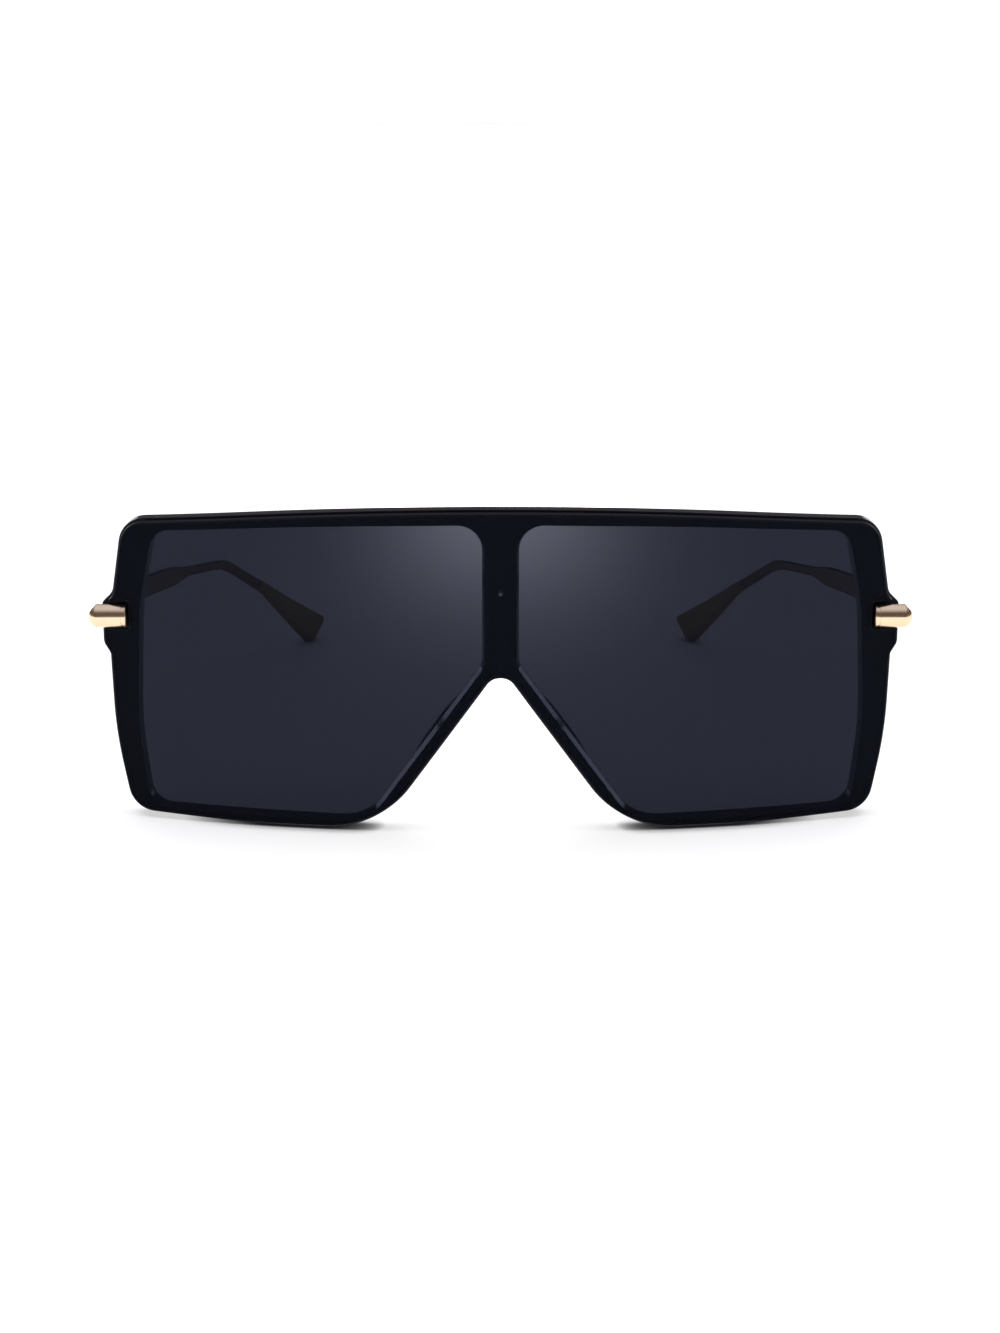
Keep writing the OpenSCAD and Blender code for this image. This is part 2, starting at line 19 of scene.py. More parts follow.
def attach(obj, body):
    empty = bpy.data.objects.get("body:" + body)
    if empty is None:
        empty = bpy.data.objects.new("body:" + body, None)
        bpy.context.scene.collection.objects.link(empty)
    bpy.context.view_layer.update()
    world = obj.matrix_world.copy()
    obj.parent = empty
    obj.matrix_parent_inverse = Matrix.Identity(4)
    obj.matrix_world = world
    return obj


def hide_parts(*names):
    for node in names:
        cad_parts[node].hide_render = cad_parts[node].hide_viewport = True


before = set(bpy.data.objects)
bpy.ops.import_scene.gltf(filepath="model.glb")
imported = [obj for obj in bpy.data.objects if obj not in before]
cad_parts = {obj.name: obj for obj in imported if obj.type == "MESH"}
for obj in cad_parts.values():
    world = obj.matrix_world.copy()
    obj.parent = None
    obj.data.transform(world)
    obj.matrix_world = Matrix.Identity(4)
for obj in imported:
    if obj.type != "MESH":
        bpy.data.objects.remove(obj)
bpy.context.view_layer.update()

LOG = logging.getLogger("sunglasses")
MM = 0.001  # metres in a millimetre
WELD = 2e-4  # cell that points are rounded to before they are welded, in millimetres
SAME_POINT = 1e-7  # distance at which the triangulation takes two points for one
RIM_CLEAR = 0.45  # share of the grid's spacing that stays free beside a rim
CORNER_ROOM = 0.94  # share of the shorter side that a rounded corner may take
ARC_TURN = 0.14  # largest turn between the points of an arc, in radians
CUT_CLEAR = 1.02  # distance between kept points and a cut, in radii of its corners
WORN, POLISHED = 1.0, 2.0  # edge marks of a rounding and of a bevel
UP = np.array([0.0, 0.0, 1.0])
Array = np.ndarray
Pair = tuple[float, float]
Triple = tuple[float, float, float]


class Side(Enum):
    """Side of the wearer, with the sign of its X."""

    LEFT = 1
    RIGHT = -1

    def node(self, name: str) -> str:
        """Name of this side's CAD node or piece."""
        return f"{self.name.lower()}_{name}"


def unit(vectors: Array) -> Array:
    """Vectors divided by their own lengths."""
    return vectors / np.maximum(np.linalg.norm(vectors, axis=-1, keepdims=True), 1e-12)


def inside(points: Array, loop: Array) -> Array:
    """Whether flat points lie inside a closed loop, by the odd count of edges to their right."""
    a, b = loop, np.roll(loop, -1, axis=0)
    x, y = points[:, :1], points[:, 1:]
    spans = (a[:, 1] > y) != (b[:, 1] > y)
    rise = np.where(a[:, 1] == b[:, 1], 1.0, b[:, 1] - a[:, 1])
    cross_x = a[:, 0] + (b[:, 0] - a[:, 0]) * (y - a[:, 1]) / rise
    return (spans & (x < cross_x)).sum(axis=1) % 2 == 1


def filled(loops: list[Array], spacing: float) -> tuple[Array, Array]:
    """Triangles inside the first loop and outside the others.

    The points are the loops' own and those of a square grid that lie clear of them. A constrained
    Delaunay triangulation joins them, and a triangle stays if its middle lies in the region.

    Args:
        loops: the outer loop and the loops of the holes, each N by 2.
        spacing: distance between the grid's points.

    Returns:
        K by 2 points and T by 3 corner numbers, counter-clockwise.
    """
    rim = np.concatenate(loops)
    low, high = rim.min(axis=0), rim.max(axis=0)
    across, up = (np.arange(low[k] + spacing / 2, high[k], spacing) for k in (0, 1))
    grid = np.stack(np.meshgrid(across, up, indexing="ij"), axis=-1).reshape(-1, 2)
    gap = np.sqrt(((grid[:, None] - rim[None]) ** 2).sum(axis=-1)).min(axis=1)

    def kept(points: Array) -> Array:
        """Whether points lie in the region."""
        holes = [inside(points, hole) for hole in loops[1:]]
        return inside(points, loops[0]) & ~np.any(holes or [False], axis=0)

    grid = grid[kept(grid) & (gap > spacing * RIM_CLEAR)]
    edges, first = [], 0
    for loop in loops:
        here = np.arange(len(loop)) + first
        edges.append(np.stack([here, np.roll(here, -1)], axis=1))
        first += len(loop)
    points = np.concatenate([rim, grid])
    made = delaunay_2d_cdt([Vector(p) for p in points.tolist()],
                           np.concatenate(edges).tolist(), [], 0, SAME_POINT)
    flat = np.array([tuple(p) for p in made[0]])
    triangles = np.array(made[2])
    return flat, triangles[kept(flat[triangles].mean(axis=1))]


@dataclass
class Shell:
    """Mesh in the making: patches of points, faces, their corners' normals, and both marks."""

    patches: list[tuple[Array, ...]] = field(default_factory=list)
    count: int = 0

    def add(self, points: Array, faces: Array, normals: Array, mark: int = 0,
            edge: float = 0.0) -> None:
        """Adds faces on their own points.

        Args:
            points: K by 3 points in millimetres.
            faces: F by 4 point numbers; a triangle names its last corner twice.
            normals: K by 3 outward normals.
            mark: number of the faces' material.
            edge: the faces' edge mark, such as WORN or POLISHED.
        """
        self.patches.append((points, faces + self.count, normals[faces],
                             np.full(len(faces), mark), np.full(len(points), edge)))
        self.count += len(points)

    def add_grid(self, points: Array, normals: Array, mark: int = 0, edge: float = 0.0) -> None:
        """Adds an M by N grid of points and normals as quads, closed round its second way."""
        rows, columns = points.shape[:2]
        number = np.arange(rows * columns).reshape(rows, columns)
        after = np.roll(number, -1, axis=1)
        quads = np.stack([number[:-1], after[:-1], after[1:], number[1:]], axis=-1).reshape(-1, 4)
        self.add(points.reshape(-1, 3), quads, normals.reshape(-1, 3), mark, edge)

    def on(self, side: Side) -> "Shell":
        """The shell on its own side: made on the left, with every x negated for the right."""
        flip = np.array([side.value, 1.0, 1.0])
        return Shell([(points * flip, faces, normals * flip, *marks)
                      for points, faces, normals, *marks in self.patches], self.count)

    def mesh(self, name: str) -> bpy.types.Mesh:
        """Welded mesh in metres, with its faces turned outwards and its corner normals kept.

        Points that round to the same grid cell become one. A quad that loses a corner becomes a
        triangle, and a face turns round if the cross product of its diagonals opposes its normals.

        Args:
            name: name of the mesh.

        Returns:
            The new mesh.
        """
        points, faces, normals, marks, edges = map(np.concatenate, zip(*self.patches))
        _, first, back = np.unique(np.round(points / WELD), axis=0,
                                   return_index=True, return_inverse=True)
        faces = back.reshape(-1)[faces]
        points, edges = points[first], edges[first]
        whole = (faces == np.roll(faces, -1, axis=1)).sum(axis=1) < 2
        whole &= (faces[:, 0] != faces[:, 2]) & (faces[:, 1] != faces[:, 3])
        faces, normals, marks = faces[whole], normals[whole], marks[whole]
        at = points[faces]
        facing = np.cross(at[:, 2] - at[:, 0], at[:, 3] - at[:, 1])
        wrong = (facing * normals.mean(axis=1)).sum(axis=1) < 0
        faces[wrong], normals[wrong] = faces[wrong][:, ::-1], normals[wrong][:, ::-1]
        real = faces != np.roll(faces, -1, axis=1)
        starts = np.concatenate([[0], np.cumsum(real.sum(axis=1))[:-1]])
        mesh = bpy.data.meshes.new(name)
        mesh.vertices.add(len(points))
        mesh.vertices.foreach_set("co", (points * MM).astype(np.float32).ravel())
        mesh.loops.add(int(real.sum()))
        mesh.loops.foreach_set("vertex_index", faces[real].astype(np.int32))
        mesh.polygons.add(len(faces))
        mesh.polygons.foreach_set("loop_start", starts.astype(np.int32))
        mesh.polygons.foreach_set("material_index", marks.astype(np.int32))
        mesh.polygons.foreach_set("use_smooth", np.ones(len(faces), dtype=bool))
        mesh.update(calc_edges=True)
        marked = mesh.attributes.new("edge", "FLOAT", "POINT")
        marked.data.foreach_set("value", edges.astype(np.float32))
        mesh.normals_split_custom_set(unit(normals[real]).tolist())
        return mesh


@dataclass(frozen=True)
class Run:
    """Smooth stretch of a profile: points with normals on the left of the way they go."""

    points: Array
    normals: Array
    edge: float = 0.0
    mark: int = 0

    @staticmethod
    def line(start: Pair, end: Pair, steps: int = 1, mark: int = 0, edge: float = 0.0) -> "Run":
        """Straight stretch from start to end in equal steps."""
        a, b = np.array(start), np.array(end)
        way = unit(b - a)
        points = a + (b - a) * np.linspace(0, 1, steps + 1)[:, None]
        return Run(points, np.tile([-way[1], way[0]], (steps + 1, 1)), edge, mark)

    @staticmethod
    def path(points: list[Pair]) -> list["Run"]:
        """Straight stretches from each point to the next."""
        return [Run.line(a, b) for a, b in zip(points, points[1:])]

    @staticmethod
    def arc(centre: Pair, r: float, start: float, end: float, steps: int = 5,
            edge: float = WORN, mark: int = 0) -> "Run":
        """Round stretch: the centre plus r times cosine and sine of an angle in degrees.

        The angle falls from start to end on a convex corner, and rises on a hollow one.
        """
        angles = np.radians(np.linspace(start, end, steps + 1))
        radial = np.stack([np.cos(angles), np.sin(angles)], axis=1)
        return Run(np.array(centre) + r * radial, radial * np.sign(start - end), edge, mark)


@dataclass(frozen=True)
class Loop:
    """Closed trace of an outline: points, and unit vectors into the material."""

    points: Array
    inward: Array

    def at(self, inset: float) -> Array:
        """Points moved into the material by inset."""
        return self.points + self.inward * inset

    def turned(self) -> "Loop":
        """The loop run the other way, with the material on its other side: the rim of a hole."""
        return Loop(self.points[::-1], -self.inward[::-1])

    def cut(self, point: Array, way: Array, r: float) -> "Loop":
        """The part behind a straight cut, with both corners at the cut rounded.

        A corner's arc is its centre plus r times cos(t) of the outline's outward normal plus r
        times sin(t) of the cut's direction.

        Args:
            point: a point on the cut.
            way: unit vector square to the cut, towards what is taken off.
            r: radius of the two corners.

        Returns:
            The cut loop.
        """
        beyond = (self.points - point) @ way
        kept = beyond < -r * CUT_CLEAR
        start = int(np.flatnonzero(kept & ~np.roll(kept, 1))[0])
        order = np.roll(np.arange(len(kept)), -start)
        order = order[kept[order]]
        turn = np.radians(np.linspace(0, 90, 7))[:, None]

        def corner(index: int) -> tuple[Array, Array]:
            """Arc from the outline at one kept point to the cut, with its outward normals."""
            out = -self.inward[index]
            along = np.array([-out[1], out[0]])
            along = along * np.sign(along @ way)
            edge_point = self.points[index] + along * (-r - beyond[index]) / (along @ way)
            centre = edge_point - out * r
            normals = np.cos(turn) * out + np.sin(turn) * along
            return centre + r * normals, normals

        off, off_n = corner(order[-1])
        on, on_n = corner(order[0])
        points = np.concatenate([self.points[order], off, on[::-1]])
        outward = np.concatenate([-self.inward[order], off_n, on_n[::-1]])
        return Loop(points, -outward)


@dataclass(frozen=True)
class Outline:
    """Closed clockwise outline whose corners are rounded: one row of across, up and radius each."""

    corners: Array

    @staticmethod
    def symmetric(half: list[Triple]) -> "Outline":
        """Outline from its half of positive across, which starts and ends on the middle line."""
        rows = np.array(half)
        return Outline(np.concatenate([rows, rows[-2:0:-1] * [-1, 1, 1]]))

    def trace(self, step: float) -> Loop:
        """Points along the outline, with straight stretches and arcs cut to a step.

        An arc's centre lies on the bisector of its corner, r over the sine of the half angle away,
        and its ends touch both sides.

        Args:
            step: longest distance between points.

        Returns:
            The traced loop.
        """
        here = self.corners[:, :2]
        to_last, to_next = np.roll(here, 1, axis=0) - here, np.roll(here, -1, axis=0) - here
        u, w = unit(to_last), unit(to_next)
        half = np.arccos(np.clip((u * w).sum(axis=1), -1, 1)) / 2
        lengths = [np.linalg.norm(way, axis=1) for way in (to_last, to_next)]
        room = CORNER_ROOM * np.minimum(*lengths)
        r = np.minimum(self.corners[:, 2], room * np.tan(half))
        centre = here + unit(u + w) * (r / np.sin(half))[:, None]
        first = here + u * (r / np.tan(half))[:, None] - centre
        start = np.arctan2(first[:, 1], first[:, 0])
        turn = -np.sign(u[:, 0] * w[:, 1] - u[:, 1] * w[:, 0]) * (np.pi - 2 * half)
        points, inward = [], []
        for k in range(len(here)):
            pieces = max(2, math.ceil(abs(turn[k]) * r[k] / step),
                         math.ceil(abs(turn[k]) / ARC_TURN))
            angle = start[k] + turn[k] * np.linspace(0, 1, pieces + 1)
            radial = np.stack([np.cos(angle), np.sin(angle)], axis=1)
            points.append(centre[k] + r[k] * radial)
            inward.append(radial * np.sign(turn[k]))
            after = (k + 1) % len(here)
            angle_b = start[after]
            end = centre[after] + r[after] * np.array([np.cos(angle_b), np.sin(angle_b)])
            gap = end - points[-1][-1]
            length = float(np.hypot(*gap))
            share = np.linspace(0, 1, max(1, math.ceil(length / step)) + 1)[1:-1, None]
            points.append(points[-1][-1] + gap * share)
            inward.append(np.tile(inward[-1][-1], (len(share), 1)))
        return Loop(np.concatenate(points), np.concatenate(inward))


@dataclass(frozen=True)
class Bend:
    """Upright cylinder that flat shapes are laid on: across is x or y, depth runs inwards.

    The other coordinate is that of the centre plus sense times the root of
    (radius - depth)^2 - (across - centre)^2.
    """

    centre: Pair
    radius: float
    axis: int
    sense: int

    def place(self, across: Array, up: Array, depth: Array) -> Array:
        """Points in the part's frame."""
        across, up, depth = np.broadcast_arrays(across, up, depth)
        reach = np.sqrt((self.radius - depth) ** 2 - (across - self.centre[self.axis]) ** 2)
        rows = [across, self.centre[1 - self.axis] + self.sense * reach]
        return np.stack([rows[self.axis], rows[1 - self.axis], up], axis=-1)

    def normals(self, points: Array, across: Array, up: Array, depth: Array) -> Array:
        """Unit normals: the shares times the gradients of across, up and depth."""
        radial = points - [*self.centre, 0]
        radial[..., 2] = 0
        side = np.eye(3)[self.axis]
        return unit(across[..., None] * side + up[..., None] * UP - depth[..., None] * unit(radial))


@dataclass(frozen=True)
class Rim:
    """One rim of a slab: a loop, and the profile from the slab's front to its back.

    A profile's points are inset into the material and depth.
    """

    loop: Loop
    runs: list[Run]

    @staticmethod
    def rounded(loop: Loop, near: float, far: float, front_r: float, back_r: float,
                steps: int = 4, mark: int = 0) -> "Rim":
        """Rim square to the slab, from its near depth to its far one, with both edges rounded."""
        return Rim(loop, [
            Run.arc((front_r, near + front_r), front_r, 270, 180, steps, mark=mark),
            Run.line((0, near + front_r), (0, far - back_r), mark=mark),
            Run.arc((back_r, far - back_r), back_r, 180, 90, steps, mark=mark),
        ])

    def edge(self, last: bool) -> tuple[Array, float]:
        """Flat loop and depth where the rim meets the slab's front, or its back."""
        inset, depth = (self.runs[-1].points[-1] if last else self.runs[0].points[0])
        return self.loop.at(inset), depth

    def build(self, wrap: Bend, shell: Shell) -> None:
        """Carries the profile along the loop: loop point plus inset times its inward vector."""
        for run in self.runs:
            flat = np.stack([self.loop.at(inset) for inset in run.points[:, 0]])
            depth = np.broadcast_to(run.points[:, 1:2], flat.shape[:2])
            share = run.normals[:, :1, None] * self.loop.inward[None]
            points = wrap.place(flat[..., 0], flat[..., 1], depth)
            normals = wrap.normals(points, share[..., 0], share[..., 1], run.normals[:, 1:2])
            shell.add_grid(points, normals, run.mark, run.edge)


def slab(wrap: Bend, rims: list[Rim], spacing: float) -> Shell:
    """Solid of an outline laid on a cylinder: rims and two filled faces.

    Args:
        wrap: the cylinder.
        rims: the outer rim first, then those of the holes.
        spacing: distance between the points inside the faces.

    Returns:
        The shell.
    """
    shell = Shell()
    for rim in rims:
        rim.build(wrap, shell)
    for last, sign in ((False, -1.0), (True, 1.0)):
        edges = [rim.edge(last) for rim in rims]
        flat, triangles = filled([loop for loop, _ in edges], spacing)
        depth = np.full(len(flat), edges[0][1])
        points = wrap.place(flat[:, 0], flat[:, 1], depth)
        none = np.zeros(len(flat))
        normals = wrap.normals(points, none, none, np.full(len(flat), sign))
        shell.add(points, triangles[:, [0, 1, 2, 2]], normals)
    return shell


def turned(origin: Array, axis: Array, runs: list[Run], sides: int) -> Shell:
    """Turned solid: a profile point's first value runs along the axis, its second is the radius.

    Args:
        origin: where the axis starts.
        axis: level unit vector along it.
        runs: the profile, from the start's middle round to the end's.
        sides: points round the axis.

    Returns:
        The shell.
    """
    side = unit(np.cross(axis, UP))
    up = np.cross(side, axis)
    angle = np.linspace(0, 2 * np.pi, sides, endpoint=False)[:, None]
    ring = np.cos(angle) * side + np.sin(angle) * up
    shell = Shell()
    for run in runs:
        along, r = run.points[:, 0, None, None], run.points[:, 1, None, None]
        points = origin + along * axis + r * ring[None]
        normals = run.normals[:, 0, None, None] * axis + run.normals[:, 1, None, None] * ring[None]
        shell.add_grid(points, np.broadcast_to(normals, points.shape), run.mark, run.edge)
    return shell


def dome(r: float, height: float) -> Pair:
    """Radius of the sphere of a domed end, and half the angle that the dome spans, in degrees."""
    sphere = (r * r + height * height) / (2 * height)
    return sphere, math.degrees(math.asin(r / sphere))


def put(name: str, data: Any, place: Triple = (0, 0, 0),
        aim: Triple | None = None) -> bpy.types.Object:
    """Puts data into the scene at a place in metres, its -Z towards an aim if there is one."""
    made = bpy.data.objects.new(name, data)
    made.location = place
    if aim is not None:
        made.rotation_euler = (Vector(aim) - Vector(place)).to_track_quat("-Z", "Y").to_euler()
    bpy.context.scene.collection.objects.link(made)
    return made


def maths(operation: str, swapped: bool = False) -> Callable[..., "Value"]:
    """Method that makes a Math node of its value and others, or of them the other way round."""

    def result(self: "Value", *others: Any) -> "Value":
        """The node's output."""
        values = (*others, self) if swapped else (self, *others)
        return self.graph.node("Math", dict(enumerate(values)), operation=operation)

    return result


class Value:
    """Output of a shader node, with the arithmetic that makes Math nodes of it."""

    def __init__(self, graph: "Graph", socket: bpy.types.NodeSocket) -> None:
        """Keeps the socket and its graph."""
        self.graph, self.socket = graph, socket

    def also(self, output: Any) -> "Value":
        """Another output of the same node."""
        return Value(self.graph, self.socket.node.outputs[output])

    __add__ = __radd__ = maths("ADD")
    __mul__ = __rmul__ = maths("MULTIPLY")
    __sub__, __rsub__ = maths("SUBTRACT"), maths("SUBTRACT", swapped=True)
    __pow__, exp, most = maths("POWER"), maths("EXPONENT"), maths("MAXIMUM")


class Graph:
    """Node tree of a material or the world."""

    def __init__(self, tree: bpy.types.NodeTree) -> None:
        """Empties the tree."""
        self.tree = tree
        tree.nodes.clear()

    def node(self, kind: str, inputs: dict[Any, Any], output: Any = 0, **settings: Any) -> Value:
        """Adds a node.

        Args:
            kind: its type, without "ShaderNode".
            inputs: values or links by socket name or number.
            output: name or number of the socket to go on with.
            settings: its own settings.

        Returns:
            The output.
        """
        node = self.tree.nodes.new("ShaderNode" + kind)
        for name, value in settings.items():
            setattr(node, name, value)
        for name, value in inputs.items():
            if isinstance(value, Value):
                self.tree.links.new(value.socket, node.inputs[name])
            else:
                node.inputs[name].default_value = value
        return Value(self, node.outputs[output] if len(node.outputs) else None)

    def axes(self) -> list[Value]:
        """X, Y and Z of the object coordinates, in metres."""
        split = self.node("SeparateXYZ", {0: self.node("TexCoord", {}, "Object")})
        return [split.also(k) for k in range(3)]

    def noise(self, scale: float | Triple, detail: float, turn: float = 0.0) -> Value:
        """Noise with features of about one over the scale, in metres, turned about Z by degrees."""
        where = self.node("TexCoord", {}, "Object")
        if turn:
            angles = (0, 0, math.radians(turn))
            where = self.node("Mapping", {"Vector": where, "Rotation": angles})
        each = scale if isinstance(scale, tuple) else (scale,) * 3
        where = self.node("Mapping", {"Vector": where, "Scale": each})
        return self.node("TexNoise", {"Vector": where, "Scale": 1.0, "Detail": detail}, "Fac")

    def ramp(self, value: Value, *stops: Pair) -> Value:
        """Grey ramp over a value, through pairs of place and grey."""
        made = self.node("ValToRGB", {"Fac": value})
        elements = made.socket.node.color_ramp.elements
        while len(elements) < len(stops):
            elements.new(1.0)
        for element, (place, grey) in zip(elements, stops):
            element.position, element.color = place, (grey, grey, grey, 1)
        return made

    def mix(self, share: Value, low: tuple[float, ...], high: tuple[float, ...]) -> Value:
        """Colour between two colours."""
        inputs = {0: share, 6: (*low, 1), 7: (*high, 1)}
        return self.node("Mix", inputs, 2, data_type="RGBA")

    def blend(self, share: Any, low: Value, high: Value) -> Value:
        """Shader between two shaders."""
        return self.node("MixShader", {0: share, 1: low, 2: high})

    def edge(self) -> Value:
        """The piece's own edge mark."""
        return self.node("Attribute", {}, "Fac", attribute_name="edge")

    def bump(self, height: Value, depth: float) -> Value:
        """Normal from a height of 0 to 1 that stands for a depth in metres."""
        return self.node("Bump", {"Strength": 1.0, "Distance": depth, "Height": height})


def scaled(colour: Triple, *by: float) -> tuple[float, ...]:
    """Colour times one factor, or times a factor for each of red, green and blue."""
    return tuple(c * k for c, k in zip(colour, by * 3))


@dataclass(frozen=True)
class Finish:
    """Finish of a surface: a name and a shader."""

    name: str

    def shade(self, g: Graph) -> Value:
        """The surface's shader."""
        raise NotImplementedError

    def make(self) -> bpy.types.Material:
        """New material with the shader at its output."""
        made = bpy.data.materials.new(self.name)
        made.use_nodes = True
        g = Graph(made.node_tree)
        g.node("OutputMaterial", {"Surface": self.shade(g)})
        return made


@dataclass(frozen=True)
class PolishedPlastic(Finish):
    """Dark plastic, tumbled to a gloss, with faint smears and hairlines."""

    colour: Triple
    gloss: float = 0.06
    smear: float = 0.09
    hairlines: float = 0.5
    shine: float = 0.06
    worn_rough: float = 0.04
    bevel_coat: float = 0.8
    coat_gloss: float = 0.06
    relief: float = 1.5e-6

    def shade(self, g: Graph) -> Value:
        """Colour wanders, smears raise the roughness, hairlines catch light, bevels are coated."""
        wander = g.noise(110, 2)
        tint = tuple(c * 1.5 + 0.001 for c in self.colour)
        smears = g.ramp(g.noise((160, 160, 90), 4), (0.45, 0), (0.75, 1))
        lines = g.ramp(g.noise((90, 90, 4200), 1, 8), (0.66, 0), (0.72, 1))
        lines = lines * g.ramp(g.noise(220, 1), (0.5, 0), (0.62, 1))
        rough = self.gloss + self.smear * smears + self.hairlines * 0.2 * lines
        height = g.noise(1500, 2) * 0.5 - lines * self.hairlines
        return g.node("BsdfPrincipled", {
            "Base Color": g.mix(wander, scaled(self.colour, 0.7), tint),
            "Roughness": rough + self.worn_rough * g.edge(),
            "Normal": g.bump(height, self.relief), "Specular IOR Level": self.shine,
            "Coat Weight": g.ramp(g.edge() * (1 / POLISHED), (0.5, 0), (1.0, self.bevel_coat)),
            "Coat Roughness": self.coat_gloss})


@dataclass(frozen=True)
class SmokedLens(Finish):
    """See-through smoked sheet: an open share tinted blue, and a coated glossy surface."""

    name: str = "lens_smoke"
    open_share: float = 0.19
    passed: Triple = (0.625, 0.66, 0.805)
    body: Triple = (0.0015, 0.0025, 0.006)
    coating: Triple = (0.8, 0.88, 1.0)
    coated_level: float = 0.055
    gloss: float = 0.03
    smear: float = 0.10

    def shade(self, g: Graph) -> Value:
        """Transparent and glossy surfaces mixed evenly, with smudges in the gloss."""
        smudge = g.ramp(g.noise((70, 70, 110), 5), (0.5, 0), (0.72, 1))
        gloss = g.node("BsdfPrincipled", {
            "Base Color": g.mix(g.noise(45, 2), self.body, scaled(self.body, 1.6)),
            "Roughness": self.gloss + self.smear * smudge, "IOR": 1.5,
            "Specular IOR Level": self.coated_level, "Specular Tint": (*self.coating, 1)})
        clear = g.node("BsdfTransparent", {"Color": (*self.passed, 1)})
        return g.blend(1 - self.open_share, clear, gloss)


@dataclass(frozen=True)
class GroundEdge(Finish):
    """Ground edge of the lens, with marks square to the sheet, rubbed bright where it stands."""

    name: str = "lens_edge"
    colour: Triple = (0.0055, 0.0065, 0.009)
    rubbed_x: tuple[float, ...] = (0.14, 0.3, 0.5, 0.8)  # of 300 times x squared, x in metres
    rubbed_z: Pair = (0.35, 0.8)  # of 200 times z
    relief: float = 2e-6

    def shade(self, g: Graph) -> Value:
        """Grey-blue with grinding marks; the rubbed share fades with height and to both sides."""
        marks = g.noise((2600, 300, 2600), 3)
        x, _, z = g.axes()
        rubbed = g.ramp(x * x * 300, *zip(self.rubbed_x, (0, 1, 1, 0)))
        rubbed = rubbed * g.ramp(z * 200, *zip(self.rubbed_z, (1, 0)))
        return g.node("BsdfPrincipled", {
            "Base Color": g.mix(marks, self.colour, scaled(self.colour, 1.7)),
            "Roughness": 0.4 + 0.2 * marks, "Normal": g.bump(marks, self.relief),
            "Specular IOR Level": 0.06, "Coat Weight": rubbed, "Coat Roughness": 0.12})


@dataclass(frozen=True)
class GoldPlate(Finish):
    """Gold plating with fine polishing lines along one way, and rubbed edges."""

    colour: Triple
    rough: float
    grain: Triple
    lines: float = 0.10
    patchy: float = 0.10
    worn_rough: float = 0.05
    warmer: Triple = (0.93, 0.86, 0.78)
    relief: float = 1.2e-6

    def shade(self, g: Graph) -> Value:
        """Lines from noise stretched along the grain; patches warm the colour; edges are rubbed."""
        lines = g.noise(self.grain, 2)
        patches = g.noise(230, 3)
        rough = self.rough + self.lines * lines + self.patchy * patches * patches
        return g.node("BsdfPrincipled", {
            "Base Color": g.mix(patches, scaled(self.colour, *self.warmer), self.colour),
            "Metallic": 1.0, "Roughness": rough + self.worn_rough * g.edge(),
            "Normal": g.bump(lines, self.relief)})


@dataclass(frozen=True)
class TurnedSteel(Finish):
    """Small steel screws: fine turning marks and slightly dulled."""

    name: str = "screw_steel"
    colour: Triple = (0.62, 0.62, 0.64)
    metal: float = 1.0
    relief: float = 1.5e-6

    def shade(self, g: Graph) -> Value:
        """Marks from noise much finer than the screws."""
        marks = g.noise((3500, 3500, 9000), 2)
        return g.node("BsdfPrincipled", {
            "Base Color": g.mix(g.noise(900, 2), scaled(self.colour, 0.7), self.colour),
            "Metallic": self.metal, "Roughness": 0.2 + 0.2 * marks,
            "Normal": g.bump(marks, self.relief)})


@dataclass(frozen=True)
class StageWhite(Finish):
    """White of the stage: it glows for what sees it and keeps the object's shadow; the glow has a
    painted pool of light and a painted contact shadow.
    """

    glow: float
    # the next two: strength of a painted pool of light on the glow, and reach of a painted contact
    # shadow
    painted_pool: float
    painted_shadow_reach: float
    glow_share: float = 0.4
    white: float = 0.92
    # tint, middle and sizes in metres of the painted pool of light
    painted_pool_tint: Triple = (1.0, 0.93, 0.77)
    painted_pool_at: Pair = (0.0, 0.2435)
    painted_pool_size: Pair = (0.024, 0.09)
    # the painted contact shadow fades out between these, away from the middle line
    painted_shade_x: Pair = (0.42, 0.75)  # of 200 times x squared, x in metres

    def shade(self, g: Graph) -> Value:
        """Diffuse white mixed with a glow that has a painted pool of light on it.

        The painted pool is e to the power of minus half the squares of the distances from
        its middle over its sizes. The glow dims to a painted contact shadow where something is
        closer than the shadow's reach, but only near the middle line.
        """
        x, y = (axis - middle for axis, middle in zip(g.axes(), self.painted_pool_at))
        wide, deep = (0.5 / size ** 2 for size in self.painted_pool_size)
        # painted pool of light behind the object, seen through the lens
        painted_pool = ((x * x * wide + y * y * deep) * -1.0).exp()
        lit = g.node("BsdfDiffuse", {"Color": (self.white, self.white, self.white, 1)})
        under = g.node("AmbientOcclusion", {"Distance": self.painted_shadow_reach}, "AO", samples=8)
        # painted contact shadow: ambient occlusion dims the glow, near the middle line only
        outside_painted_shadow = 1 - g.ramp(x * x * 200, *zip(self.painted_shade_x, (1, 0))) * (1 - under)
        strength = self.glow + painted_pool * (self.painted_pool / self.glow_share)
        shining = g.node("Emission", {
            "Color": g.mix(painted_pool ** 0.3, (1.0, 1.0, 1.0), self.painted_pool_tint),
            "Strength": strength * outside_painted_shadow * outside_painted_shadow})
        return g.blend(self.seen(g), lit, g.blend(self.glow_share, lit, shining))

    @staticmethod
    def seen(g: Graph) -> Value:
        """One for rays from the camera, off gloss or through glass, and zero for soft light."""
        ray = g.node("LightPath", {}, "Is Camera Ray")
        return ray.most(ray.also("Is Glossy Ray")).most(ray.also("Is Transmission Ray"))


